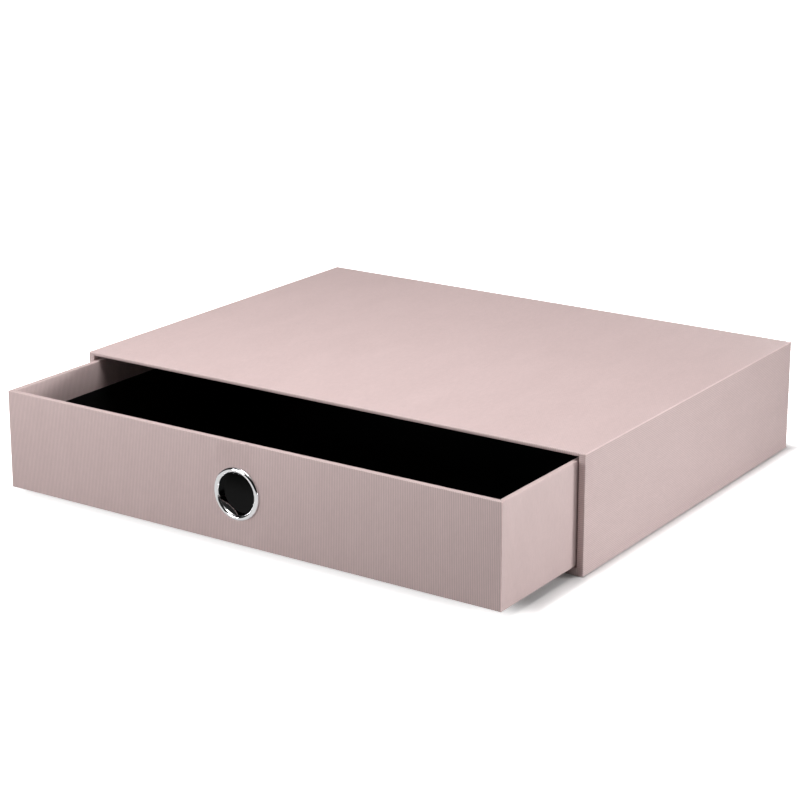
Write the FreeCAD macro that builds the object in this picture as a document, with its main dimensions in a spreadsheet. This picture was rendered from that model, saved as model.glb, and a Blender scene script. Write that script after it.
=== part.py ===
import FreeCAD, Part
import math
import os
import types
import Sketcher

# Desktop drawer box: a greyboard case covered with ribbed paper, and one pull-out drawer with a metal
# finger ring. Millimetres. X is the width, Y runs from the front to the back and Z is up. The origin is
# on the table under the middle of the case. The drawer stands part of the way out.

SIZES = (
    ("case_width", 335.0, "outside width of the case"),
    ("case_depth", 252.0, "outside depth of the case, front to back"),
    ("case_height", 67.0, "outside height of the case"),
    ("cover_paper", 0.3, "thickness of the ribbed cover paper"),
    ("lining_paper", 0.3, "thickness of the black lining paper"),
    ("shell_board", 1.5, "greyboard of the case's outer shell"),
    ("tray_board", 2.0, "greyboard of the tray glued inside the shell"),
    ("case_turn_in", 12.0, "cover paper folded into the case's opening"),
    ("glue_flap", 12.0, "cover paper folded onto a back or an underside"),
    ("sheet_inset", 2.5, "how far a closing sheet stays inside the edges"),
    ("edge_round", 0.8, "radius of the paper-wrapped outer edges"),
    ("side_gap", 0.6, "running gap on each side of the drawer"),
    ("run_gap", 0.5, "running gap under the drawer"),
    ("top_gap", 2.4, "gap between the drawer's rim and the case's roof"),
    ("back_gap", 0.6, "gap behind the drawer when it is closed"),
    ("drawer_board", 2.8, "greyboard of the drawer's walls"),
    ("drawer_floor", 2.0, "greyboard of the drawer's floor"),
    ("drawer_turn_in", 17.0, "cover paper folded over the drawer's rim"),
    ("pulled_out", 73.0, "how far the drawer stands out of the case"),
    ("stay_paper", 0.2, "thickness of the corner stay paper"),
    ("stay_reach", 15.0, "how far a corner stay runs along a wall"),
    ("finger_radius", 11.8, "radius of the finger hole through the ring"),
    ("flange_radius", 14.8, "radius of the ring's front bead"),
    ("ring_metal", 0.5, "sheet thickness of the ring"),
    ("ring_hole_gap", 0.1, "gap between the ring's barrel and the wall"),
    ("washer_sheet", 0.6, "thickness of the washer behind the wall"),
    ("washer_rim", 2.2, "radial width of the washer"),
    ("curl_reach", 1.4, "how far the barrel's rear curl laps the washer"),
)

TOUCH = 0.0001
BEAD_CHORDS = 8
CHORD_IN = 1 - math.sqrt(0.5)
CHORD_ON = math.sqrt(0.5)

doc = FreeCAD.newDocument("drawer_box")
sheet = doc.addObject("Spreadsheet::Sheet", "sizes")
for row, (alias, value, meaning) in enumerate(SIZES, start=1):
    sheet.set(f"A{row}", meaning)
    sheet.set(f"B{row}", str(value))
    sheet.setAlias(f"B{row}", alias)
doc.recompute()


class Length:
    """A length that keeps both its value and the sheet expression that gives it."""

    def __init__(self, value, text):
        self.value = float(value)
        self.text = text

    def __add__(self, other):
        return Length(self.value + other.value, f"({self.text} + {other.text})")

    def __sub__(self, other):
        return Length(self.value - other.value, f"({self.text} - {other.text})")

    def __mul__(self, times):
        return Length(self.value * times, f"({self.text} * {times})")

    def __truediv__(self, parts):
        return Length(self.value / parts, f"({self.text} / {parts})")

    def __neg__(self):
        return Length(-self.value, f"(-{self.text})")


def larger(one, other):
    return Length(max(one.value, other.value), f"max({one.text}; {other.text})")


ZERO = Length(0, "0")
given = types.SimpleNamespace(**{alias: Length(sheet.get(alias), f"sizes.{alias}") for alias, _, _ in SIZES})

# The case's shell, from its outer faces inwards
paper = given.cover_paper
lining = given.lining_paper
skin = larger(paper, lining)
half_width = given.case_width / 2
half_depth = given.case_depth / 2
top = given.case_height
front = -half_depth
board_front = front + paper
board_half = half_width - paper
shell_inner_half = board_half - given.shell_board
board_top = top - paper
roof = board_top - given.shell_board
board_low = paper * 2
base_top = board_low + given.shell_board
shell_back = half_depth - paper * 2
back_wall = shell_back - given.shell_board

# The tray glued inside the shell
wall_half = shell_inner_half - given.tray_board
floor = base_top + given.tray_board
lining_front = board_front + given.case_turn_in
lining_back = back_wall - lining

# The drawer, in its own frame: front face at 0, folded lower edge of its cover at 0
drawer_half = wall_half - skin - given.side_gap
drawer_low = floor + skin + given.run_gap + paper
drawer_height = roof - skin - given.top_gap - drawer_low
drawer_depth = given.case_depth - (half_depth - back_wall) - lining - given.back_gap
drawer_front = front - given.pulled_out
drawer_wall = paper + given.drawer_board
drawer_rim = drawer_wall + paper
drawer_lining_top = drawer_height - given.drawer_turn_in
drawer_floor_low = paper
drawer_floor_top = drawer_floor_low + given.drawer_floor
drawer_inner_back = drawer_depth - drawer_wall

# The ring in the middle of the drawer's front, and the hole that it sits in
ring_height = drawer_height / 2
hole_radius = given.finger_radius + given.ring_metal + given.ring_hole_gap
ring_seat = drawer_wall + skin
curl_seat = ring_seat + given.washer_sheet


def rectangle(left, right, low, high):
    return [(left, low), (right, low), (right, high), (left, high)]


def frame_outline(half, low, high, inset):
    """A closed frame as an outer and an inner rectangle, the inner one inset on all four sides."""
    outer = rectangle(-half, half, low, high)
    inner = rectangle(inset - half, half - inset, low + inset, high - inset)
    return outer, inner


def arch(half, low, high, thickness):
    """An upside-down U that is open at its foot, with legs and roof of one thickness."""
    inner_half = half - thickness
    inner_top = high - thickness
    return [
        (-half, low), (-half, high), (half, high), (half, low),
        (inner_half, low), (inner_half, inner_top), (-inner_half, inner_top), (-inner_half, low),
    ]


def stepped_arch(half, high, inner_half, inner_top):
    """A U like `arch` round the opening, whose legs are only a shell board wide beside the base."""
    return [
        (-half, paper), (-half, high), (half, high), (half, paper),
        (shell_inner_half, paper), (shell_inner_half, floor), (inner_half, floor), (inner_half, inner_top),
        (-inner_half, inner_top), (-inner_half, floor), (-shell_inner_half, floor), (-shell_inner_half, paper),
    ]


def tie_point(sketch, shape, end, across, up):
    """Ties a point of the sketch to its distances from the sketch's origin."""
    for kind, axis, distance in (("DistanceX", -2, across), ("DistanceY", -1, up)):
        if distance is ZERO:
            sketch.addConstraint(Sketcher.Constraint("PointOnObject", shape, end, axis))
            continue
        index = sketch.addConstraint(Sketcher.Constraint(kind, -1, 1, shape, end, distance.value))
        name = f"{kind}_{shape}_{end}"
        sketch.renameConstraint(index, name)
        sketch.setExpression("Constraints." + name, distance.text)


def draw_polygon(sketch, points):
    corners = [FreeCAD.Vector(across.value, up.value, 0) for across, up in points]
    first = sketch.GeometryCount
    for index, corner in enumerate(corners):
        sketch.addGeometry(Part.LineSegment(corner, corners[(index + 1) % len(corners)]), False)
    for index, (across, up) in enumerate(points):
        following = first + (index + 1) % len(points)
        sketch.addConstraint(Sketcher.Constraint("Coincident", first + index, 2, following, 1))
        tie_point(sketch, first + index, 1, across, up)


def draw_circle(sketch, across, up, radius):
    centre = FreeCAD.Vector(across.value, up.value, 0)
    shape = sketch.addGeometry(Part.Circle(centre, FreeCAD.Vector(0, 0, 1), radius.value), False)
    tie_point(sketch, shape, 3, across, up)
    index = sketch.addConstraint(Sketcher.Constraint("Radius", shape, radius.value))
    name = f"radius_{shape}"
    sketch.renameConstraint(index, name)
    sketch.setExpression("Constraints." + name, radius.text)


class Piece:
    """One physical piece: a PartDesign body whose features are tied to the sheet.

    Outlines lie on the XY, XZ or YZ plane, and every pad and cut runs from its start towards the
    plane's positive axis.
    """

    def __init__(self, name, along=ZERO, up=ZERO):
        self.name = name
        self.steps = 0
        self.body = doc.addObject("PartDesign::Body", name)
        self.body.Label = name
        self.body.setExpression("Placement.Base.y", along.text)
        self.body.setExpression("Placement.Base.z", up.text)

    def feature(self, kind, word):
        self.steps += 1
        return self.body.newObject(kind, f"{self.name}_{word}_{self.steps}")

    def sketch(self, plane, start=ZERO):
        sketch = self.feature("Sketcher::SketchObject", "sketch")
        planes = {item.Role: item for item in self.body.Origin.OriginFeatures}
        sketch.AttachmentSupport = (planes[plane + "_Plane"], [""])
        sketch.MapMode = "FlatFace"
        offset = -start if plane == "XZ" else start
        sketch.setExpression("AttachmentOffset.Base.z", offset.text)
        return sketch

    def draw(self, plane, start, outlines):
        sketch = self.sketch(plane, start)
        for outline in outlines:
            if len(outline) == 3:
                draw_circle(sketch, *outline)
            else:
                draw_polygon(sketch, outline)
        return sketch

    def pad(self, plane, start, end, *outlines):
        sketch = self.draw(plane, start, outlines)
        pad = self.feature("PartDesign::Pad", "pad")
        pad.Profile = sketch
        pad.setExpression("Length", (end - start).text)
        pad.Reversed = plane == "XZ"
        pad.Refine = True
        return self

    def cut(self, plane, start, end, *outlines):
        doc.recompute()
        before = self.body.Tip.Shape.Volume
        sketch = self.draw(plane, start, outlines)
        pocket = self.feature("PartDesign::Pocket", "cut")
        pocket.Profile = sketch
        pocket.setExpression("Length", (end - start).text)
        pocket.Reversed = plane != "XZ"
        pocket.Refine = True
        doc.recompute()
        if not 0 < pocket.Shape.Volume < before:
            raise ValueError(f"{pocket.Name} cuts nothing")
        return self

    def round_edges(self, radius, wanted):
        """Rounds the edges that the given test accepts."""
        doc.recompute()
        base = self.body.Tip
        names = [f"Edge{number}" for number, edge in enumerate(base.Shape.Edges, start=1) if wanted(edge)]
        fillet = self.feature("PartDesign::Fillet", "round")
        fillet.Base = (base, names)
        fillet.setExpression("Radius", radius.text)
        return self


def at_level(edge, axis, place):
    return all(abs(getattr(vertex.Point, axis) - place.value) < TOUCH for vertex in edge.Vertexes)


def on_box_edge(half, low_y, high_y, low_z, high_z):
    """A test for the edges that lie along an edge of the given box."""
    def wanted(edge):
        sides = (("x", -half, half), ("y", low_y, high_y), ("z", low_z, high_z))
        return sum(at_level(edge, axis, low) or at_level(edge, axis, high) for axis, low, high in sides) > 1
    return wanted


def on_rim(half, low_y, high_y, level):
    """A test for the edges of a rectangle at one height."""
    def wanted(edge):
        sides = (("x", -half, half), ("y", low_y, high_y))
        beside = any(at_level(edge, axis, low) or at_level(edge, axis, high) for axis, low, high in sides)
        return beside and at_level(edge, "z", level)
    return wanted


# Greyboard under the rounded paper is rounded by what the paper leaves
board_round = given.edge_round - paper
case_board_edges = on_box_edge(board_half, board_front, shell_back, board_low, board_top)
drawer_board_edges = on_box_edge(
    drawer_half - paper, paper, drawer_depth - paper, drawer_floor_low, drawer_height - paper
)


def case_top_board():
    outline = rectangle(-board_half, board_half, board_front, shell_back)
    return Piece("case_top_board").pad("XY", roof, board_top, outline).round_edges(board_round, case_board_edges)


def case_side_board(name, side):
    """An outer side board, with the shallow recess that a corner stay lies in at its back end."""
    outer = board_half
    recess = outer - given.stay_paper
    step = shell_back - given.stay_reach
    end = shell_back - given.stay_paper
    outline = [
        (shell_inner_half, board_front), (outer, board_front), (outer, step), (recess, step),
        (recess, end), (shell_inner_half, end),
    ]
    outline = [(across * side, along) for across, along in outline]
    piece = Piece(name).pad("XY", board_low, roof, outline)
    return piece.round_edges(board_round, case_board_edges)


def case_back_board():
    """The back board between the side boards, recessed at both ends for the corner stays."""
    step = board_half - given.stay_reach
    recess = shell_back - given.stay_paper
    outline = [
        (-shell_inner_half, back_wall), (shell_inner_half, back_wall), (shell_inner_half, recess),
        (step, recess), (step, shell_back), (-step, shell_back), (-step, recess), (-shell_inner_half, recess),
    ]
    return Piece("case_back_board").pad("XY", board_low, roof, outline)


def case_base_board():
    outline = rectangle(-shell_inner_half, shell_inner_half, board_front, back_wall)
    return Piece("case_base_board").pad("XY", board_low, base_top, outline)


def case_tray_floor_board():
    outline = rectangle(-shell_inner_half, shell_inner_half, board_front, back_wall)
    return Piece("case_tray_floor_board").pad("XY", base_top, floor, outline)


def case_tray_side_board(name, side):
    outline = rectangle(wall_half * side, shell_inner_half * side, board_front, back_wall)
    return Piece(name).pad("XY", floor, roof, outline)


def corner_stay(outer, near, side, turn):
    """An L of stay paper round an outer corner at (outer, near), its legs running inwards."""
    reach = given.stay_reach
    thin = given.stay_paper
    return [
        (outer * side, near),
        (outer * side, near - reach * turn),
        ((outer - thin) * side, near - reach * turn),
        ((outer - thin) * side, near - thin * turn),
        ((outer - reach) * side, near - thin * turn),
        ((outer - reach) * side, near),
    ]


def case_corner_stays():
    piece = Piece("case_corner_stays")
    outlines = [corner_stay(board_half, shell_back, side, 1) for side in (-1, 1)]
    return piece.pad("XY", board_low, roof, *outlines)


def case_cover_paper():
    """The ribbed cover: top and both sides, folded in at the front and down onto the back and base."""
    flap_half = half_width - given.glue_flap
    opening_half = wall_half - paper
    opening_top = roof - paper
    cover_back = half_depth - paper
    front_band = stepped_arch(half_width, top, opening_half, opening_top)
    board_space = stepped_arch(board_half, board_top, wall_half, roof)
    piece = Piece("case_cover_paper")
    piece.pad("XZ", front, lining_front, front_band)
    piece.cut("XZ", board_front, lining_front, board_space)
    piece.pad("XZ", lining_front, cover_back, arch(half_width, paper, top, paper))
    piece.pad("XZ", shell_back, cover_back, arch(half_width, paper, top, given.glue_flap))
    for side in (-1, 1):
        outline = rectangle(flap_half * side, half_width * side, board_front, cover_back)
        piece.pad("XY", paper, board_low, outline)
    outer_edges = on_box_edge(half_width, front, cover_back, paper, top)
    opening_edges = on_box_edge(opening_half, front, front, opening_top, opening_top)

    def wanted(edge):
        front_foot = at_level(edge, "y", front) and at_level(edge, "z", paper)
        opening_rim = at_level(edge, "y", front) and opening_edges(edge)
        return (outer_edges(edge) or opening_rim) and not front_foot

    return piece.round_edges(given.edge_round, wanted)


def case_back_paper():
    """The sheet that closes the back, over the cover's flaps, and turns under the base."""
    wide = half_width - given.sheet_inset
    filled = half_width - given.glue_flap
    outer = half_depth - paper
    under = shell_back - given.glue_flap
    piece = Piece("case_back_paper")
    piece.pad("XZ", outer, half_depth, rectangle(-wide, wide, paper, top - given.sheet_inset))
    piece.pad("XZ", shell_back, outer, rectangle(-filled, filled, paper, top - given.glue_flap))
    piece.pad("XY", paper, board_low, rectangle(-filled, filled, under, shell_back))
    return piece


def case_base_paper():
    """The sheet on the underside, wrapped up the front edge and folded onto the case's floor."""
    wide = half_width - given.sheet_inset
    filled = half_width - given.glue_flap
    opening_half = wall_half - paper
    floor_paper = floor + paper
    piece = Piece("case_base_paper")
    piece.pad("XY", ZERO, paper, rectangle(-wide, wide, front, half_depth - given.sheet_inset))
    fill_back = shell_back - given.glue_flap
    piece.pad("XY", paper, board_low, rectangle(-filled, filled, front, fill_back))
    front_strip = [
        (-shell_inner_half, ZERO), (shell_inner_half, ZERO), (shell_inner_half, floor),
        (opening_half, floor), (opening_half, floor_paper), (-opening_half, floor_paper),
        (-opening_half, floor), (-shell_inner_half, floor),
    ]
    piece.pad("XZ", front, board_front, front_strip)
    piece.pad("XY", floor, floor_paper, rectangle(-opening_half, opening_half, front, lining_front))

    def wanted(edge):
        return at_level(edge, "y", front) and (at_level(edge, "z", ZERO) or at_level(edge, "z", floor_paper))

    return piece.round_edges(given.edge_round, wanted)


def case_wall_lining():
    """The black lining of the case's floor and side walls, one sheet bent into a U."""
    inner_half = wall_half - lining
    inner_floor = floor + lining
    outline = [
        (-wall_half, roof), (-wall_half, floor), (wall_half, floor), (wall_half, roof),
        (inner_half, roof), (inner_half, inner_floor), (-inner_half, inner_floor), (-inner_half, roof),
    ]
    return Piece("case_wall_lining").pad("XZ", lining_front, lining_back, outline)


def case_roof_lining():
    inner_half = wall_half - lining
    outline = rectangle(-inner_half, inner_half, lining_front, lining_back)
    return Piece("case_roof_lining").pad("XY", roof - lining, roof, outline)


def case_back_lining():
    outline = rectangle(-wall_half, wall_half, floor, roof)
    return Piece("case_back_lining").pad("XZ", lining_back, back_wall, outline)


def drawer_piece(name):
    return Piece(name, along=drawer_front, up=drawer_low)


def ring_hole():
    return ZERO, ring_height, hole_radius


def drawer_end_board(name, face, turn):
    """A front or back wall board: its outer face is at `face` and `turn` points into the drawer."""
    outer_half = drawer_half - paper
    end = outer_half - given.stay_paper
    step = outer_half - given.stay_reach
    recess = face + given.stay_paper * turn
    inner = face + given.drawer_board * turn
    outline = [
        (-end, inner), (-end, recess), (-step, recess), (-step, face),
        (step, face), (step, recess), (end, recess), (end, inner),
    ]
    return drawer_piece(name).pad("XY", drawer_floor_low, drawer_height - paper, outline)


def drawer_front_board():
    piece = drawer_end_board("drawer_front_board", paper, 1)
    piece.round_edges(board_round, drawer_board_edges)
    return piece.cut("XZ", ZERO, ring_seat, ring_hole())


def drawer_back_board():
    piece = drawer_end_board("drawer_back_board", drawer_depth - paper, -1)
    return piece.round_edges(board_round, drawer_board_edges)


def drawer_side_board(name, side):
    """A side wall board between the front and back boards, recessed at both ends for the stays."""
    outer = drawer_half - paper
    inner = drawer_half - drawer_wall
    recess = outer - given.stay_paper
    near = drawer_wall
    far = drawer_inner_back
    near_step = paper + given.stay_reach
    far_step = drawer_depth - paper - given.stay_reach
    outline = [
        (inner, near), (recess, near), (recess, near_step), (outer, near_step),
        (outer, far_step), (recess, far_step), (recess, far), (inner, far),
    ]
    outline = [(across * side, along) for across, along in outline]
    piece = drawer_piece(name).pad("XY", drawer_floor_low, drawer_height - paper, outline)
    return piece.round_edges(board_round, drawer_board_edges)


def drawer_floor_board():
    half = drawer_half - drawer_wall
    outline = rectangle(-half, half, drawer_wall, drawer_inner_back)
    return drawer_piece("drawer_floor_board").pad("XY", drawer_floor_low, drawer_floor_top, outline)


def drawer_corner_stays():
    outer = drawer_half - paper
    outlines = [corner_stay(outer, paper, side, -1) for side in (-1, 1)]
    outlines += [corner_stay(outer, drawer_depth - paper, side, 1) for side in (-1, 1)]
    piece = drawer_piece("drawer_corner_stays")
    return piece.pad("XY", drawer_floor_low, drawer_height - paper, *outlines)


def drawer_cover_paper():
    """The ribbed strip round all four walls, folded over the rim and under the floor."""
    boards = frame_outline(drawer_half - paper, paper, drawer_depth - paper, given.drawer_board)
    piece = drawer_piece("drawer_cover_paper")
    piece.pad("XY", ZERO, drawer_height, *frame_outline(drawer_half, ZERO, drawer_depth, drawer_rim))
    piece.cut("XY", ZERO, drawer_lining_top, boards[0])
    piece.cut("XY", drawer_lining_top, drawer_height - paper, *boards)
    piece.pad("XY", ZERO, paper, *frame_outline(drawer_half, ZERO, drawer_depth, given.glue_flap))
    piece.cut("XZ", ZERO, ring_seat, ring_hole())
    piece.round_edges(given.edge_round, on_box_edge(drawer_half, ZERO, drawer_depth, ZERO, drawer_height))
    rim = on_rim(drawer_half - drawer_rim, drawer_rim, drawer_depth - drawer_rim, drawer_height)
    return piece.round_edges(given.edge_round, rim)


def drawer_base_paper():
    """The sheet under the drawer, over the folded edges of the cover."""
    inset = given.sheet_inset
    flap = given.glue_flap
    wide = drawer_half - inset
    filled = drawer_half - flap
    piece = drawer_piece("drawer_base_paper")
    piece.pad("XY", -paper, ZERO, rectangle(-wide, wide, inset, drawer_depth - inset))
    piece.pad("XY", ZERO, paper, rectangle(-filled, filled, flap, drawer_depth - flap))
    return piece


def drawer_wall_lining():
    """The black lining round the inside of the walls, below the folded rim paper."""
    outline = frame_outline(drawer_half - drawer_wall, drawer_wall, drawer_inner_back, lining)
    piece = drawer_piece("drawer_wall_lining").pad("XY", drawer_floor_top, drawer_lining_top, *outline)
    return piece.cut("XZ", ZERO, ring_seat, ring_hole())


def drawer_floor_lining():
    half = drawer_half - drawer_wall - lining
    outline = rectangle(-half, half, drawer_wall + lining, drawer_inner_back - lining)
    piece = drawer_piece("drawer_floor_lining")
    return piece.pad("XY", drawer_floor_top, drawer_floor_top + lining, outline)


def ring_piece(name):
    return Piece(name, along=drawer_front, up=drawer_low + ring_height)


def half_round(middle, radius, chords):
    """The corners of a half circle drawn as chords, bulging to the front, without its two ends."""
    angles = [math.pi * step / chords for step in range(1, chords)]
    return [(middle + radius * math.cos(angle), -(radius * math.sin(angle))) for angle in angles]


def pull_ring():
    """The eyelet in section: half-round front bead, straight barrel and flat rear curl, turned once.

    Across is the radius and up runs into the drawer, with 0 at the drawer's front face. The small
    rounds are drawn as chords.
    """
    bore = given.finger_radius
    metal = given.ring_metal
    barrel = bore + metal
    bead_middle = (bore + given.flange_radius) / 2
    bead = (given.flange_radius - bore) / 2
    curl = barrel + given.curl_reach
    curl_back = curl_seat + metal

    section = [(given.flange_radius, ZERO)]
    section += half_round(bead_middle, bead, BEAD_CHORDS)
    section += [
        (bore, ZERO),
        (bore, curl_seat),
        (bore + metal * CHORD_IN, curl_seat + metal * CHORD_ON),
        (barrel, curl_back),
        (curl, curl_back),
        (curl + metal / 2, curl_seat + metal / 2),
        (curl, curl_seat),
        (barrel, curl_seat),
        (barrel, ZERO),
    ]
    section += reversed(half_round(bead_middle, bead - metal, BEAD_CHORDS))
    section += [(given.flange_radius - metal, ZERO)]

    piece = ring_piece("pull_ring")
    sketch = piece.draw("XY", ZERO, [section])
    turned = piece.feature("PartDesign::Revolution", "turned")
    turned.Profile = sketch
    turned.ReferenceAxis = (sketch, ["V_Axis"])
    turned.Angle = 360
    turned.Refine = True
    return piece


def pull_ring_washer():
    """The flat washer that the ring's barrel is curled over, behind the front wall."""
    rings = ((ZERO, ZERO, hole_radius + given.washer_rim), (ZERO, ZERO, hole_radius))
    return ring_piece("pull_ring_washer").pad("XZ", ring_seat, curl_seat, *rings)


pieces = [
    case_top_board(),
    case_side_board("case_left_board", -1),
    case_side_board("case_right_board", 1),
    case_back_board(),
    case_base_board(),
    case_tray_floor_board(),
    case_tray_side_board("case_tray_left_board", -1),
    case_tray_side_board("case_tray_right_board", 1),
    case_corner_stays(),
    case_cover_paper(),
    case_back_paper(),
    case_base_paper(),
    case_wall_lining(),
    case_roof_lining(),
    case_back_lining(),
    drawer_front_board(),
    drawer_back_board(),
    drawer_side_board("drawer_left_board", -1),
    drawer_side_board("drawer_right_board", 1),
    drawer_floor_board(),
    drawer_corner_stays(),
    drawer_cover_paper(),
    drawer_base_paper(),
    drawer_wall_lining(),
    drawer_floor_lining(),
    pull_ring(),
    pull_ring_washer(),
]
doc.recompute()

for item in doc.Objects:
    if "Invalid" in item.State or "Error" in item.State:
        raise ValueError(f"{item.Label} failed: {item.State}")
for piece in pieces:
    shape = piece.body.Shape
    if shape.isNull() or not shape.isValid():
        raise ValueError(f"{piece.name} has no valid shape")

os.makedirs("parts", exist_ok=True)
for piece in pieces:
    shape = piece.body.Shape
    shape.exportStep(f"parts/{piece.name}.step")
    box = shape.BoundBox
    corners = (box.XMin, box.YMin, box.ZMin, box.XMax, box.YMax, box.ZMax)
    print(piece.name, len(shape.Solids), round(shape.Volume, 1), [round(corner, 2) for corner in corners])
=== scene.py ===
import math

import bmesh
import bpy
from mathutils import Matrix, Vector


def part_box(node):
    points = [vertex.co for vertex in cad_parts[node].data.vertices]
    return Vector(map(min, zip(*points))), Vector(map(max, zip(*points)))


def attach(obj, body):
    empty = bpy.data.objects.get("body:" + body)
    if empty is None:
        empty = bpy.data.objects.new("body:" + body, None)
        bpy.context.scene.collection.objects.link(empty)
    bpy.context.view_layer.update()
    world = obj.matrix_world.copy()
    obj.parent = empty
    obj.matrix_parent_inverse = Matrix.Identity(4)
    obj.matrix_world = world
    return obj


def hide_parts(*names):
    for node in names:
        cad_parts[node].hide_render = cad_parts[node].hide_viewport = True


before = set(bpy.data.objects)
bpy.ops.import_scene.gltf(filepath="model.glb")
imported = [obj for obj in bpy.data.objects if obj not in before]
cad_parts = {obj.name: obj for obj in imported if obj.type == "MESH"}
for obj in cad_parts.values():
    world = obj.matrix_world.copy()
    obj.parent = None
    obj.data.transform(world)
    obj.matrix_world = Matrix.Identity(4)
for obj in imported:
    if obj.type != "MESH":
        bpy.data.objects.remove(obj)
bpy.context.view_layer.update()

# Desktop drawer box: a board case wrapped in ribbed rose paper, and one drawer with a chromed finger ring.
# Metres, X across the width, Y from the front to the back, Z up. The case and the drawer are symmetric in X.

MM = 0.001
X = Vector((1, 0, 0))
Y = Vector((0, 1, 0))
Z = Vector((0, 0, 1))

# Ribbed paper. A rib's shape is how deep the paper lies at its start, at each third and at its end.
# PAST_RIBS is a depth that takes in all the ribs of a wall, and RIB_SLACK is by how much one may miss a line
RIB_PITCH = 1.035 * MM
RIB_DEPTH = 0.15 * MM
RIB_SHAPE = (0, 1, 1, 0)
PAST_RIBS = 2 * RIB_DEPTH
RIB_SLACK = RIB_PITCH / 4
SHEET = 0.16 * MM

# Folds, flaps and cuts in the paper
EDGE_ROUND = 0.6 * MM
EDGE_STEPS = 3
INNER_STEPS = 2
GLUE_FLAP = 12 * MM
MITRE_GAP = 0.05 * MM
MITRE_OPENING = math.radians(4)
HOLE_SIDES = 32

# Points nearer than a seam are joined, and edges that turn by more than SHARP are shaded sharp
SEAM = 0.001 * MM
SHARP = math.radians(50)

# Each wall of the drawer: the way it faces, and the way along it to the next wall
WALLS = ((-Y, X), (X, Y), (Y, -X), (-X, -Y))

# Finger ring. The rim is how much of its front bead lies on the paper
RING_BEAD = 3 * MM
RING_RIM = 2.4 * MM
RING_METAL = 0.5 * MM
RING_CURL = 1.9 * MM
RING_STEPS = 128
BEAD_STEPS = 16

# Rose paper, the broad drift that lies under the grain, and the painted shade of the grooves
ROSE_DEEP = (0.578, 0.441, 0.434)
ROSE_PALE = (0.796, 0.625, 0.613)
# The groove tone below is painted shade: the darker tone the grooves take where shade falls in them, not a tone
# of the paper
ROSE_GROOVE_SHADE = (0.40, 0.305, 0.295)
DRIFT_SCALE = 0.12
DRIFT_SHARE = 0.4
DRIFT_DETAIL = 2
GRAIN_DETAIL = 3

# A colour mix has its two colours and its result behind the sockets for numbers and vectors
MIX_A = 6
MIX_B = 7
MIX_RESULT = 2

# Floor: its tone for the light that it throws back and its tone for the camera. For the camera it also glows
# with painted light, which clears it to white within
# SIDE_CLEAR of the case's sides and back, and within FRONT_CLEAR of a line under the drawer's front, and so
# paints out the object's shadow beyond them
FLOOR_TONE = (0.4, 0.4, 0.4)
FLOOR_SEEN = (0.95, 0.95, 0.95)
FLOOR_SIZE = 4
FLOOR_DROP = 0.1 * MM
SIDE_CLEAR = 0.012
FRONT_CLEAR = 0.042
FRONT_UNDER = 0.034
FLOOR_LIFT = 0.03
FLOOR_SHINE = 0.3

# Sky: its light on the object, and what metal shows of it. That is HORIZON_SEEN where a ray rises by less
# than HORIZON_TOP of its length, and white where it rises by more than SKY_CLEAR
SKY_LIGHT = 0.14
HORIZON_SEEN = 0.02
HORIZON_TOP = 0.78
SKY_CLEAR = 0.92

# Camera: metres, degrees, and millimetres for the lens and the sensor
CAMERA_PLACE = (0.6705, -1.0393, 0.4217)
CAMERA_YAW = 34.016
CAMERA_PITCH = 14.88
CAMERA_LENS = 97.31
CAMERA_SENSOR = 36
CAMERA_SHIFT = -0.12
CAMERA_NEAREST = 0.05
CAMERA_FARTHEST = 50


def new_sheet():
    """An empty mesh whose corners keep how deep in a groove they lie: 0 on a crest, 1 at the bottom. The rose
    paper paints shade into the grooves by it.
    """
    bm = bmesh.new()
    bm.verts.layers.float.new("groove")
    return bm


def edges_of(geometry):
    return [item for item in geometry if isinstance(item, bmesh.types.BMEdge)]


def verts_of(geometry):
    return [item for item in geometry if isinstance(item, bmesh.types.BMVert)]


def faces_of(geometry):
    return [item for item in geometry if isinstance(item, bmesh.types.BMFace)]


def with_parts(faces):
    """The faces with their edges and corners, as the cutting operators want them."""
    parts = set(faces)
    for face in faces:
        parts.update(face.edges)
        parts.update(face.verts)
    return list(parts)


def where(edges, wanted):
    """The edges whose middle passes a test."""
    return [edge for edge in edges if wanted((edge.verts[0].co + edge.verts[1].co) / 2)]


def drawn_in(low, high):
    """The box whose edges are the centre lines of the folds in the given box's edges."""
    inset = Vector((EDGE_ROUND, EDGE_ROUND, EDGE_ROUND))
    return low + inset, high - inset


def reach(corners, way):
    """How far a box, given by its lowest and highest corners, reaches in a direction."""
    return max(corner.dot(way) for corner in corners)


def pull_on(bm, line, step):
    """Carries the end line of a sheet straight on by one step, and gives its new end line."""
    made = bmesh.ops.extrude_edge_only(bm, edges=line)["geom"]
    new = verts_of(made)
    bmesh.ops.translate(bm, verts=new, vec=step)
    return [edge for edge in edges_of(made) if set(edge.verts) <= set(new)]


def swing(bm, geometry, centre, axis, angle, steps):
    """Sweeps points or lines round an axis, and gives what they end in."""
    swept = bmesh.ops.spin(
        bm, geom=geometry, cent=centre, axis=axis, dvec=(0, 0, 0), angle=angle, steps=steps
    )
    return swept["geom_last"]


def fold(bm, line, centre, facing, then, steps=EDGE_STEPS):
    """Folds the end line of a sheet round a board's edge, from facing one way to facing another."""
    return edges_of(swing(bm, line, centre, facing.cross(then), math.pi / 2, steps))


def round_corner(bm, start, centre, facing, then):
    """Draws the quarter round of a sheet's end line about a corner, from the point where it starts."""
    fold(bm, [bm.verts.new(start)], centre, facing, then)


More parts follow.
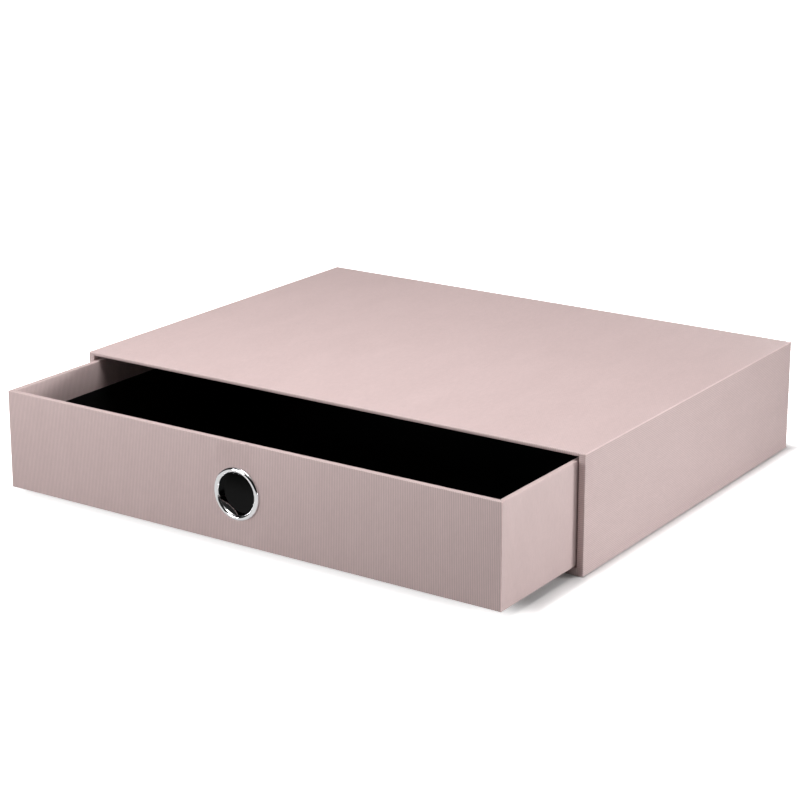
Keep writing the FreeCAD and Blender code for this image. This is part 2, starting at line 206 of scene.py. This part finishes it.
def ribbed_line(bm, start, end, out):
    """Draws the end line of a ribbed sheet: whole ribs from start to end, with their crests on that line."""
    span = end - start
    ribs = max(1, round(span.length / RIB_PITCH))
    rib = span / ribs
    runs = len(RIB_SHAPE) - 1
    groove = bm.verts.layers.float["groove"]
    points = []
    for step, depth in enumerate(RIB_SHAPE):
        point = bm.verts.new(start + rib * step / runs - out * RIB_DEPTH * depth)
        point[groove] = depth
        points.append(point)
    edges = [bm.edges.new(pair) for pair in zip(points, points[1:])]
    if ribs > 1:
        bmesh.ops.spin(
            bm, geom=points + edges, cent=start, axis=out, dvec=rib, angle=0, steps=ribs - 1, use_duplicate=True
        )


def join_ends(bm):
    """Joins the ends of the drawn lines, and all other points that lie together."""
    bmesh.ops.remove_doubles(bm, verts=bm.verts, dist=SEAM)


def flat_sheet(bm, start, end, out, step):
    """Draws a flat ribbed sheet: an end line from start to end, pulled on by one step to its new end line."""
    ribbed_line(bm, start, end, out)
    join_ends(bm)
    return pull_on(bm, list(bm.edges), step)


def thicken(bm, facing, thickness=SHEET):
    """Gives a sheet its thickness, inwards from the face that shows, which is outermost the way it faces."""
    join_ends(bm)
    bmesh.ops.recalc_face_normals(bm, faces=bm.faces)
    outermost = max(bm.faces, key=lambda face: face.calc_center_median().dot(facing))
    if outermost.normal.dot(facing) < 0:
        bmesh.ops.reverse_faces(bm, faces=bm.faces)
    bmesh.ops.solidify(bm, geom=list(bm.faces), thickness=thickness)


def make_piece(bm, name, body, slot, *nodes):
    """Turns the finished mesh into a piece that rides on a body and stands for its nodes."""
    mesh = bpy.data.meshes.new(name)
    bm.to_mesh(mesh)
    bm.free()
    mesh.shade_smooth()
    mesh.set_sharp_from_angle(angle=SHARP)
    piece = bpy.data.objects.new(name, mesh)
    bpy.context.scene.collection.objects.link(piece)
    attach(piece, body)
    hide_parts(*nodes)
    return piece


def draw_cover_end(bm, low, high):
    """Draws the front end line of the case's cover: over the top, down both sides and in under the foot."""
    inner_low, inner_high = drawn_in(low, high)

    def at(across, up):
        return Vector((across, inner_low.y, up))

    ribbed_line(bm, at(-inner_high.x, high.z), at(inner_high.x, high.z), Z)
    for turn in (-1, 1):
        out = X * turn
        side = high.x * turn
        inner_side = inner_high.x * turn
        flap_side = (high.x - GLUE_FLAP) * turn
        round_corner(bm, at(inner_side, high.z), at(inner_side, inner_high.z), Z, out)
        ribbed_line(bm, at(side, inner_high.z), at(side, inner_low.z), out)
        round_corner(bm, at(side, inner_low.z), at(inner_side, inner_low.z), out, -Z)
        ribbed_line(bm, at(inner_side, low.z), at(flap_side, low.z), -Z)
    join_ends(bm)


def fold_cover_top(bm, low, high, front_end, back_end):
    """Folds the top over the roof's front edge into the opening, and over its back edge as a flap."""
    inner_low, inner_high = drawn_in(low, high)
    opening_low, opening_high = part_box("case_roof_lining")
    opening_line = opening_low.z + EDGE_ROUND

    def on_top(p):
        return p.z > inner_high.z

    line = fold(bm, where(front_end, on_top), Vector((0, inner_low.y, inner_high.z)), Z, -Y)
    line = where(line, lambda p: abs(p.x) < opening_high.x)
    line = pull_on(bm, line, -Z * (inner_high.z - opening_line))
    line = fold(bm, line, Vector((0, inner_low.y, opening_line)), -Y, -Z)
    pull_on(bm, line, Y * (opening_low.y - inner_low.y))
    line = fold(bm, where(back_end, on_top), Vector((0, inner_high.y, inner_high.z)), Z, Y)
    line = where(line, lambda p: abs(p.x) < high.x - GLUE_FLAP)
    pull_on(bm, line, -Z * (GLUE_FLAP - EDGE_ROUND))


def fold_cover_foot(bm, low, high, front_end, back_end):
    """Rounds off the flaps under the case: at the back, and at the front where the base sheet leaves them."""
    inner_low, inner_high = drawn_in(low, high)
    base_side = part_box("case_base_paper")[1].x
    foot_front = where(front_end, lambda p: p.z < inner_low.z and abs(p.x) > base_side - RIB_SLACK)
    foot_back = where(back_end, lambda p: p.z < inner_low.z)
    fold(bm, foot_front, Vector((0, inner_low.y, inner_low.z)), -Z, -Y)
    fold(bm, foot_back, Vector((0, inner_high.y, inner_low.z)), -Z, Y)


def fold_cover_side(bm, low, high, front_end, back_end, turn):
    """Folds one side over its front edge into the opening, and over its back edge as a flap."""
    inner_low, inner_high = drawn_in(low, high)
    opening_low, opening_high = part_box("case_roof_lining")
    base_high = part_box("case_base_paper")[1]
    opening_line = opening_high.x + EDGE_ROUND
    flap_side = high.x - GLUE_FLAP
    out = X * turn

    def on_side(p):
        return p.x * turn > high.x - PAST_RIBS and inner_low.z < p.z < inner_high.z

    line = fold(bm, where(front_end, on_side), Vector((inner_high.x * turn, inner_low.y, 0)), out, -Y)
    beside_base = where(line, lambda p: p.z < base_high.z)
    pull_on(bm, beside_base, -out * (inner_high.x - base_high.x))
    line = where(line, lambda p: p.z > base_high.z)
    line = pull_on(bm, line, -out * (inner_high.x - opening_line))
    line = fold(bm, line, Vector((opening_line * turn, inner_low.y, 0)), -Y, -out)
    pull_on(bm, line, Y * (opening_low.y - inner_low.y))
    line = fold(bm, where(back_end, on_side), Vector((inner_high.x * turn, inner_high.y, 0)), out, Y)
    pull_on(bm, line, -out * (inner_high.x - flap_side - MITRE_GAP))


def case_cover():
    """The cover of the case: one sheet over both sides and the top, folded in at the front and the back."""
    low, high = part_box("case_cover_paper")
    bm = new_sheet()
    draw_cover_end(bm, low, high)
    front_end = list(bm.edges)
    back_end = pull_on(bm, front_end, Y * (high.y - low.y - 2 * EDGE_ROUND))
    fold_cover_top(bm, low, high, front_end, back_end)
    fold_cover_foot(bm, low, high, front_end, back_end)
    for turn in (-1, 1):
        fold_cover_side(bm, low, high, front_end, back_end, turn)
    thicken(bm, Z)
    return make_piece(bm, "case_cover", "case", "rose_paper", "case_cover_paper")


def case_back_sheet():
    """The sheet that closes the back, with upright ribs, turned under at the foot."""
    low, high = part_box("case_back_paper")
    r = EDGE_ROUND
    bm = new_sheet()
    line = flat_sheet(bm, Vector((low.x, high.y, high.z)), high, Y, -Z * (high.z - low.z - r))
    line = fold(bm, line, Vector((0, high.y - r, low.z + r)), Y, -Z)
    pull_on(bm, line, -Y * (high.y - r - low.y))
    thicken(bm, Y)
    return make_piece(bm, "case_back_sheet", "case", "rose_paper", "case_back_paper")


def case_base_sheet():
    """The sheet under the case, folded up the front edge and in over the case's floor."""
    low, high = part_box("case_base_paper")
    opening_low, opening_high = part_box("case_roof_lining")
    r = EDGE_ROUND
    bm = new_sheet()
    start = Vector((low.x, high.y, low.z))
    end = Vector((high.x, high.y, low.z))
    line = flat_sheet(bm, start, end, -Z, -Y * (high.y - low.y - r))
    line = fold(bm, line, Vector((0, low.y + r, low.z + r)), -Z, -Y)
    line = pull_on(bm, line, Z * (high.z - low.z - 2 * r))
    beside_opening = where(line, lambda p: abs(p.x) > opening_high.x)
    pull_on(bm, beside_opening, Z * r)
    line = where(line, lambda p: abs(p.x) < opening_high.x)
    line = fold(bm, line, Vector((0, low.y + r, high.z - r)), -Y, Z)
    pull_on(bm, line, Y * (opening_low.y - low.y - r))
    thicken(bm, -Z)
    return make_piece(bm, "case_base_sheet", "case", "rose_paper", "case_base_paper")


def drawer_base_sheet():
    """The flat sheet under the drawer."""
    low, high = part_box("drawer_base_paper")
    bm = new_sheet()
    flat_sheet(bm, low, Vector((high.x, low.y, low.z)), -Z, Y * (high.y - low.y))
    thicken(bm, -Z)
    return make_piece(bm, "drawer_base_sheet", "drawer", "rose_paper", "drawer_base_paper")


def draw_wall(bm, cover, out, along):
    """Draws the foot line of one wall of the drawer's cover, and the round corner to the next wall."""
    foot_line = cover[0].z + EDGE_ROUND
    face = out * reach(cover, out) + Z * foot_line
    start = face + along * (EDGE_ROUND - reach(cover, -along))
    end = face + along * (reach(cover, along) - EDGE_ROUND)
    ribbed_line(bm, start, end, out)
    round_corner(bm, end, end - out * EDGE_ROUND, out, along)


def open_ring_hole(bm, centre, radius):
    """Opens the round hole for the finger ring in the front wall, by one straight cut after another."""
    def near(face):
        places = [corner.co for corner in face.verts]
        return all(abs(place.x) < radius + RIB_PITCH and place.y < centre.y + PAST_RIBS for place in places)

    inside = [face for face in bm.faces if near(face)]
    for side in range(HOLE_SIDES):
        angle = 2 * math.pi * side / HOLE_SIDES
        out = Vector((math.cos(angle), 0, math.sin(angle)))
        point = centre + out * radius
        cut = bmesh.ops.bisect_plane(bm, geom=with_parts(inside), dist=SEAM, plane_co=point, plane_no=out)
        inside = [face for face in faces_of(cut["geom"]) if (face.calc_center_median() - point).dot(out) < 0]
    bmesh.ops.delete(bm, geom=inside, context="FACES")


def fold_wall(bm, cover, out, along, end_line, level, up):
    """Folds a wall's end line over the rim or under the floor, and gives the new end line of its ribs.

    The front and the back wall take the round corners with them.
    """
    first = EDGE_ROUND - reach(cover, -along)
    last = reach(cover, along) - EDGE_ROUND
    takes_corners = out.x == 0
    depth = EDGE_ROUND if takes_corners else PAST_RIBS

    def on_run(p):
        return first < p.dot(along) < last

    def on_wall(p):
        return p.dot(out) > reach(cover, out) - depth and (takes_corners or on_run(p))

    centre = out * (reach(cover, out) - EDGE_ROUND) + Z * level
    return where(fold(bm, where(end_line, on_wall), centre, out, up), on_run)


def turn_in_rim(bm, cover, out, line):
    """Carries a wall's folded end line over the rim and down inside the wall, as far as the lining."""
    low, high = cover
    r = EDGE_ROUND
    rim_line = high.z - r
    rim_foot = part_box("drawer_wall_lining")[1].z
    rim_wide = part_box("drawer_floor_lining")[0].y - low.y
    line = pull_on(bm, line, -out * (rim_wide - 2 * r))
    centre = out * (reach(cover, out) - rim_wide + r) + Z * rim_line
    line = fold(bm, line, centre, Z, -out, INNER_STEPS)
    pull_on(bm, line, -Z * (rim_line - rim_foot))


def cut_mitre(bm, faces, point, normal):
    """Cuts the faces along a plane and drops what lies on the normal's side, but no corner of another face."""
    own = set(faces)
    parts = [part for part in with_parts(faces) if part in own or own.issuperset(part.link_faces)]
    bmesh.ops.bisect_plane(bm, geom=parts, dist=SEAM, plane_co=point, plane_no=normal, clear_outer=True)


def cut_mitres(bm, cover, out, along, before):
    """Cuts what is new on a wall to a mitre at both of its ends: a slit on the rim, an even gap below it."""
    rim_line = cover[1].z - EDGE_ROUND
    for side in (-1, 1):
        way = along * side
        corner = out * (reach(cover, out) - EDGE_ROUND) + way * (reach(cover, way) - EDGE_ROUND)
        across = (way - out).normalized()
        turn = Matrix.Rotation(side * MITRE_OPENING, 3, out.cross(along))
        folded_in = [face for face in bm.faces if face not in before]
        on_rim = {face for face in folded_in if face.calc_center_median().z > rim_line}
        below = [face for face in folded_in if face not in on_rim]
        cut_mitre(bm, below, corner - across * MITRE_GAP, across)
        if on_rim:
            cut_mitre(bm, on_rim, corner, turn @ across)


def drop_wires(bm):
    """Clears away the edges that a cut has left without a face."""
    wires = [edge for edge in bm.edges if edge.is_wire]
    bmesh.ops.delete(bm, geom=wires, context="EDGES")
    lone = [corner for corner in bm.verts if not corner.link_faces]
    bmesh.ops.delete(bm, geom=lone, context="VERTS")


def drawer_cover():
    """The strip round the drawer: upright ribs outside, folded over the rim and under the floor with mitres."""
    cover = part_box("drawer_cover_paper")
    ring_low, ring_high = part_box("pull_ring")
    low, high = cover
    foot_line = low.z + EDGE_ROUND
    rim_line = high.z - EDGE_ROUND
    bm = new_sheet()
    for out, along in WALLS:
        draw_wall(bm, cover, out, along)
    join_ends(bm)
    foot_end = list(bm.edges)
    rim_end = pull_on(bm, foot_end, Z * (rim_line - foot_line))
    ring_middle = Vector((0, low.y, (ring_low.z + ring_high.z) / 2))
    open_ring_hole(bm, ring_middle, ring_high.x - RING_RIM)
    for out, along in WALLS:
        line = fold_wall(bm, cover, out, along, rim_end, rim_line, Z)
        before = set(bm.faces)
        turn_in_rim(bm, cover, out, line)
        cut_mitres(bm, cover, out, along, before)
        line = fold_wall(bm, cover, out, along, foot_end, foot_line, -Z)
        before = set(bm.faces)
        pull_on(bm, line, -out * (GLUE_FLAP - EDGE_ROUND))
        cut_mitres(bm, cover, out, along, before)
    drop_wires(bm)
    thicken(bm, -Y)
    return make_piece(bm, "drawer_cover", "drawer", "rose_paper", "drawer_cover_paper")


def extrude_point(bm, point, place):
    """Draws one more straight run of a section, from its end point to a place."""
    made = bmesh.ops.extrude_vert_indiv(bm, verts=point)["verts"]
    made[0].co = place
    return made


def finger_ring():
    """The eyelet: rolled bead, straight barrel through the wall and flat curl behind it, turned once."""
    low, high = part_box("pull_ring")
    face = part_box("drawer_cover_paper")[0].y
    middle = Vector((0, 0, (low.z + high.z) / 2))
    bead = RING_BEAD / 2
    bore = high.x - RING_BEAD
    barrel_end = high.y - RING_METAL

    def at(radius, along):
        return middle + X * radius + Y * along

    bm = bmesh.new()
    start = bm.verts.new(at(high.x, face))
    bead_middle = at(high.x - bead, face)
    end = verts_of(swing(bm, [start], bead_middle, -Z, math.pi, BEAD_STEPS))
    squash = (face - low.y) / bead
    bmesh.ops.scale(bm, verts=bm.verts, vec=(1, squash, 1), space=Matrix.Translation(-bead_middle))
    end = extrude_point(bm, end, at(bore, barrel_end))
    end = verts_of(swing(bm, end, at(bore + RING_METAL, barrel_end), -Z, math.pi / 2, EDGE_STEPS))
    extrude_point(bm, end, at(bore + RING_CURL, high.y))
    bmesh.ops.spin(
        bm, geom=list(bm.edges), cent=middle, axis=Y, dvec=(0, 0, 0), angle=2 * math.pi, steps=RING_STEPS,
        use_merge=True
    )
    thicken(bm, -Y, RING_METAL)
    return make_piece(bm, "finger_ring", "drawer", "ring_chrome", "pull_ring")


def fibres():
    """Node group: fine grain over a broad drift, as a tone from 0 to 1 and as a height."""
    group = bpy.data.node_groups.new("fibres", "ShaderNodeTree")
    group.interface.new_socket("Place", in_out="INPUT", socket_type="NodeSocketVector")
    group.interface.new_socket("Tone", in_out="OUTPUT", socket_type="NodeSocketFloat")
    group.interface.new_socket("Height", in_out="OUTPUT", socket_type="NodeSocketFloat")
    nodes = group.nodes
    links = group.links
    place = nodes.new("NodeGroupInput")
    out = nodes.new("NodeGroupOutput")
    grain = nodes.new("ShaderNodeTexNoise")
    grain.inputs["Scale"].default_value = 1
    grain.inputs["Detail"].default_value = GRAIN_DETAIL
    drift = nodes.new("ShaderNodeTexNoise")
    drift.inputs["Scale"].default_value = DRIFT_SCALE
    drift.inputs["Detail"].default_value = DRIFT_DETAIL
    blend = nodes.new("ShaderNodeMix")
    blend.inputs["Factor"].default_value = DRIFT_SHARE
    for texture in (grain, drift):
        links.new(place.outputs["Place"], texture.inputs["Vector"])
    links.new(grain.outputs["Fac"], blend.inputs["A"])
    links.new(drift.outputs["Fac"], blend.inputs["B"])
    links.new(blend.outputs["Result"], out.inputs["Tone"])
    links.new(grain.outputs["Fac"], out.inputs["Height"])
    return group


def new_finish(name):
    """A new material, with its nodes, its links and its shader."""
    material = bpy.data.materials.new(name)
    material.use_nodes = True
    nodes = material.node_tree.nodes
    return material, nodes, material.node_tree.links, nodes["Principled BSDF"]


def colour_mix(nodes, one, other):
    """A mix of two colours, whose Factor is the share of the second."""
    mix = nodes.new("ShaderNodeMix")
    mix.data_type = "RGBA"
    mix.inputs[MIX_A].default_value = (*one, 1)
    mix.inputs[MIX_B].default_value = (*other, 1)
    return mix


def number_maths(nodes, operation, second=0):
    """Arithmetic on two numbers, the second of which is given here or linked later."""
    node = nodes.new("ShaderNodeMath")
    node.operation = operation
    node.inputs[1].default_value = second
    return node


def grained(
    name, dark, light, grain, roughness, rough_spread=0.06, gloss=0.5, metallic=0.0, height=0.02 * MM
):
    """A finish with a grain: its two tones, how fine the grain is each way, and how rough it is."""
    material, nodes, links, shader = new_finish(name)
    shader.inputs["Metallic"].default_value = metallic
    shader.inputs["Specular IOR Level"].default_value = gloss
    place = nodes.new("ShaderNodeTexCoord")
    stretch = nodes.new("ShaderNodeMapping")
    stretch.inputs["Scale"].default_value = grain
    grains = nodes.new("ShaderNodeGroup")
    grains.node_tree = FIBRES
    tones = colour_mix(nodes, dark, light)
    rough = nodes.new("ShaderNodeMapRange")
    rough.inputs["To Min"].default_value = roughness - rough_spread
    rough.inputs["To Max"].default_value = roughness + rough_spread
    bump = nodes.new("ShaderNodeBump")
    bump.inputs["Distance"].default_value = height
    links.new(place.outputs["Object"], stretch.inputs["Vector"])
    links.new(stretch.outputs["Vector"], grains.inputs["Place"])
    links.new(grains.outputs["Tone"], tones.inputs["Factor"])
    links.new(tones.outputs[MIX_RESULT], shader.inputs["Base Color"])
    links.new(grains.outputs["Tone"], rough.inputs["Value"])
    links.new(rough.outputs["Result"], shader.inputs["Roughness"])
    links.new(grains.outputs["Height"], bump.inputs["Height"])
    links.new(bump.outputs["Normal"], shader.inputs["Normal"])
    return material


def rose_paper(name, grain, groove_shade_share):
    """Rose cover paper, with painted shade that makes its tone deeper in the grooves."""
    material = grained(name, ROSE_DEEP, ROSE_PALE, grain, roughness=0.6, height=0.03 * MM)
    nodes = material.node_tree.nodes
    links = material.node_tree.links
    shader = nodes["Principled BSDF"]
    tones = shader.inputs["Base Color"].links[0].from_socket
    # Painted shade: the tone sinks towards the groove shade colour by how deep in a groove each point lies, as
    # shade falls in the grooves
    groove = nodes.new("ShaderNodeAttribute")
    groove.attribute_name = "groove"
    share = number_maths(nodes, "MULTIPLY", groove_shade_share)
    painted_groove_shade = colour_mix(nodes, ROSE_PALE, ROSE_GROOVE_SHADE)
    links.new(groove.outputs["Fac"], share.inputs[0])
    links.new(share.outputs["Value"], painted_groove_shade.inputs["Factor"])
    links.new(tones, painted_groove_shade.inputs[MIX_A])
    links.new(painted_groove_shade.outputs[MIX_RESULT], shader.inputs["Base Color"])
    return material


def dress(finish, *nodes):
    """Gives a finish to nodes of the frame that show as they are."""
    for node in nodes:
        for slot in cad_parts[node].material_slots:
            slot.material = finish


def scaled_place(nodes, times, plus):
    """A place that is scaled and then moved."""
    node = nodes.new("ShaderNodeVectorMath")
    node.operation = "MULTIPLY_ADD"
    node.inputs[1].default_value = times
    node.inputs[2].default_value = plus
    return node


def floor_clear(nodes, links):
    """How far the floor has cleared to white, as the strength of its painted glow: FLOOR_LIFT at the object and
    1 past its clearing distances.
    """
    low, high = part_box("case_cover_paper")
    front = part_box("drawer_cover_paper")[0].y + FRONT_UNDER
    place = nodes.new("ShaderNodeTexCoord")
    behind = scaled_place(
        nodes, (1 / SIDE_CLEAR, 1 / SIDE_CLEAR, 0), (-high.x / SIDE_CLEAR, -high.y / SIDE_CLEAR, 0)
    )
    before = scaled_place(
        nodes, (-1 / SIDE_CLEAR, -1 / FRONT_CLEAR, 0), (low.x / SIDE_CLEAR, front / FRONT_CLEAR, 0)
    )
    shares = nodes.new("ShaderNodeVectorMath")
    shares.operation = "MAXIMUM"
    parts = nodes.new("ShaderNodeSeparateXYZ")
    far = number_maths(nodes, "MAXIMUM")
    clear = nodes.new("ShaderNodeMapRange")
    clear.interpolation_type = "SMOOTHSTEP"
    clear.inputs["To Min"].default_value = FLOOR_LIFT
    clear.inputs["To Max"].default_value = 1
    links.new(place.outputs["Object"], behind.inputs[0])
    links.new(place.outputs["Object"], before.inputs[0])
    links.new(behind.outputs["Vector"], shares.inputs[0])
    links.new(before.outputs["Vector"], shares.inputs[1])
    links.new(shares.outputs["Vector"], parts.inputs["Vector"])
    links.new(parts.outputs["X"], far.inputs[0])
    links.new(parts.outputs["Y"], far.inputs[1])
    links.new(far.outputs["Value"], clear.inputs["Value"])
    return clear.outputs["Result"]


def seen_white(nodes, links, strength):
    """A strength for the camera, less of it for what metal shows, and none for the light on the object."""
    ray = nodes.new("ShaderNodeLightPath")
    shine = number_maths(nodes, "MULTIPLY", FLOOR_SHINE)
    seen = number_maths(nodes, "MAXIMUM")
    times = number_maths(nodes, "MULTIPLY")
    links.new(ray.outputs["Is Camera Ray"], seen.inputs[0])
    links.new(ray.outputs["Is Glossy Ray"], shine.inputs[0])
    links.new(shine.outputs["Value"], seen.inputs[1])
    links.new(seen.outputs["Value"], times.inputs[0])
    links.new(strength, times.inputs[1])
    return times.outputs["Value"]


def floor_finish():
    """Pale floor: it keeps the object's shadow near the object, and away from it a painted glow for the camera
    clears it to the white backdrop.
    """
    material, nodes, links, shader = new_finish("floor")
    shader.inputs["Roughness"].default_value = 0.9
    shader.inputs["Specular IOR Level"].default_value = 0.1
    shader.inputs["Emission Color"].default_value = (1, 1, 1, 1)
    ray = nodes.new("ShaderNodeLightPath")
    tones = colour_mix(nodes, FLOOR_TONE, FLOOR_SEEN)
    # Painted light: the floor glows for the camera, barely at the object and fully past the clearing distances,
    # which paints out the shadow there
    glow = seen_white(nodes, links, floor_clear(nodes, links))
    links.new(ray.outputs["Is Camera Ray"], tones.inputs["Factor"])
    links.new(tones.outputs[MIX_RESULT], shader.inputs["Base Color"])
    links.new(glow, shader.inputs["Emission Strength"])
    return material


def studio_floor():
    """The floor under the object, which belongs to the stage."""
    bm = bmesh.new()
    bmesh.ops.create_grid(bm, x_segments=1, y_segments=1, size=FLOOR_SIZE)
    bmesh.ops.translate(bm, verts=bm.verts, vec=-Z * FLOOR_DROP)
    mesh = bpy.data.meshes.new("floor")
    bm.to_mesh(mesh)
    bm.free()
    mesh.materials.append(floor_finish())
    floor = bpy.data.objects.new("floor", mesh)
    bpy.context.scene.collection.objects.link(floor)


def studio_world():
    """Soft light from all round, and plain white behind the object."""
    world = bpy.data.worlds.new("studio")
    world.use_nodes = True
    bpy.context.scene.world = world
    nodes = world.node_tree.nodes
    links = world.node_tree.links
    backdrop = nodes["Background"]
    backdrop.inputs["Color"].default_value = (1, 1, 1, 1)
    way = nodes.new("ShaderNodeTexCoord")
    parts = nodes.new("ShaderNodeSeparateXYZ")
    graded = nodes.new("ShaderNodeMapRange")
    graded.inputs["From Min"].default_value = HORIZON_TOP
    graded.inputs["From Max"].default_value = SKY_CLEAR
    graded.inputs["To Min"].default_value = HORIZON_SEEN
    graded.inputs["To Max"].default_value = 1
    ray = nodes.new("ShaderNodeLightPath")
    shine = nodes.new("ShaderNodeMix")
    shine.inputs["A"].default_value = SKY_LIGHT
    seen = nodes.new("ShaderNodeMix")
    seen.inputs["B"].default_value = 1
    links.new(way.outputs["Generated"], parts.inputs["Vector"])
    links.new(parts.outputs["Z"], graded.inputs["Value"])
    links.new(ray.outputs["Is Glossy Ray"], shine.inputs["Factor"])
    links.new(graded.outputs["Result"], shine.inputs["B"])
    links.new(ray.outputs["Is Camera Ray"], seen.inputs["Factor"])
    links.new(shine.outputs["Result"], seen.inputs["A"])
    links.new(seen.outputs["Result"], backdrop.inputs["Strength"])


def lamp(name, place, target, wide, tall, power, spread=180):
    """A soft lamp that faces a point and throws its light within an angle, in degrees."""
    light = bpy.data.lights.new(name, "AREA")
    light.shape = "RECTANGLE"
    light.size = wide
    light.size_y = tall
    light.energy = power
    light.spread = math.radians(spread)
    holder = bpy.data.objects.new(name, light)
    holder.location = place
    holder.rotation_euler = (Vector(target) - Vector(place)).to_track_quat("-Z", "Y").to_euler()
    bpy.context.scene.collection.objects.link(holder)


def camera():
    """The photograph's view: from the front right, a little above."""
    data = bpy.data.cameras.new("camera")
    data.lens = CAMERA_LENS
    data.sensor_width = CAMERA_SENSOR
    data.shift_y = CAMERA_SHIFT
    data.clip_start = CAMERA_NEAREST
    data.clip_end = CAMERA_FARTHEST
    holder = bpy.data.objects.new("camera", data)
    holder.location = CAMERA_PLACE
    holder.rotation_euler = (math.radians(90 - CAMERA_PITCH), 0, math.radians(CAMERA_YAW))
    bpy.context.scene.collection.objects.link(holder)
    bpy.context.scene.camera = holder


FIBRES = fibres()
# The upright ribs get more painted groove shade than the ribs that run along
rose_along = rose_paper("rose_paper_along", grain=(700, 230, 700), groove_shade_share=0.57)
rose_upright = rose_paper("rose_paper_upright", grain=(700, 700, 230), groove_shade_share=0.7)
black_paper = grained(
    "black_paper", dark=(0.003, 0.003, 0.003), light=(0.006, 0.006, 0.006), grain=(900, 900, 900),
    roughness=0.85, gloss=0.08
)
greyboard = grained(
    "greyboard", dark=(0.26, 0.24, 0.21), light=(0.40, 0.38, 0.34), grain=(700, 700, 700), roughness=0.9
)
stay_paper = grained(
    "stay_paper", dark=(0.48, 0.38, 0.25), light=(0.60, 0.50, 0.35), grain=(800, 800, 800), roughness=0.75
)
chrome = grained(
    "ring_chrome", dark=(0.78, 0.78, 0.79), light=(0.86, 0.86, 0.87), grain=(300, 300, 300),
    roughness=0.07, rough_spread=0.02, metallic=1.0, height=0.001 * MM
)
steel = grained(
    "washer_steel", dark=(0.52, 0.52, 0.53), light=(0.66, 0.66, 0.66), grain=(200, 900, 2500),
    roughness=0.32, metallic=1.0, height=0.004 * MM
)

for piece, finish in (
    (case_cover(), rose_along),
    (case_back_sheet(), rose_upright),
    (case_base_sheet(), rose_along),
    (drawer_cover(), rose_upright),
    (drawer_base_sheet(), rose_along),
    (finger_ring(), chrome),
):
    piece.data.materials.append(finish)

dress(
    black_paper, "case_wall_lining", "case_roof_lining", "case_back_lining", "drawer_wall_lining",
    "drawer_floor_lining"
)
dress(
    greyboard, "case_top_board", "case_left_board", "case_right_board", "case_back_board", "case_base_board",
    "case_tray_floor_board", "case_tray_left_board", "case_tray_right_board", "drawer_front_board",
    "drawer_back_board", "drawer_left_board", "drawer_right_board", "drawer_floor_board"
)
dress(stay_paper, "case_corner_stays", "drawer_corner_stays")
dress(steel, "pull_ring_washer")

studio_floor()
studio_world()
lamp("top_lamp", place=(0.02, -0.16, 0.82), target=(0.02, -0.10, 0.06), wide=0.45, tall=0.45, power=6.7)
lamp(
    "side_lamp", place=(1.31, 0.67, 0.26), target=(0.165, -0.35, 0.03), wide=0.5, tall=0.25, power=1.6,
    spread=53
)
lamp("low_side_lamp", place=(0.8, -0.14, 0.05), target=(0.17, -0.12, 0.03), wide=0.3, tall=0.08, power=0.6)
lamp("front_lamp", place=(-0.45, -0.95, 0.25), target=(-0.1, -0.2, 0.03), wide=0.35, tall=0.15, power=4.3)
lamp("left_lamp", place=(-1.2, 0.5, 0.08), target=(0, 0, 0.03), wide=0.5, tall=0.15, power=4)
lamp("back_lamp", place=(0, 0.9, 0.05), target=(0, 0, 0.03), wide=0.25, tall=0.08, power=3)
camera()

scene = bpy.context.scene
scene.view_settings.view_transform = "Standard"
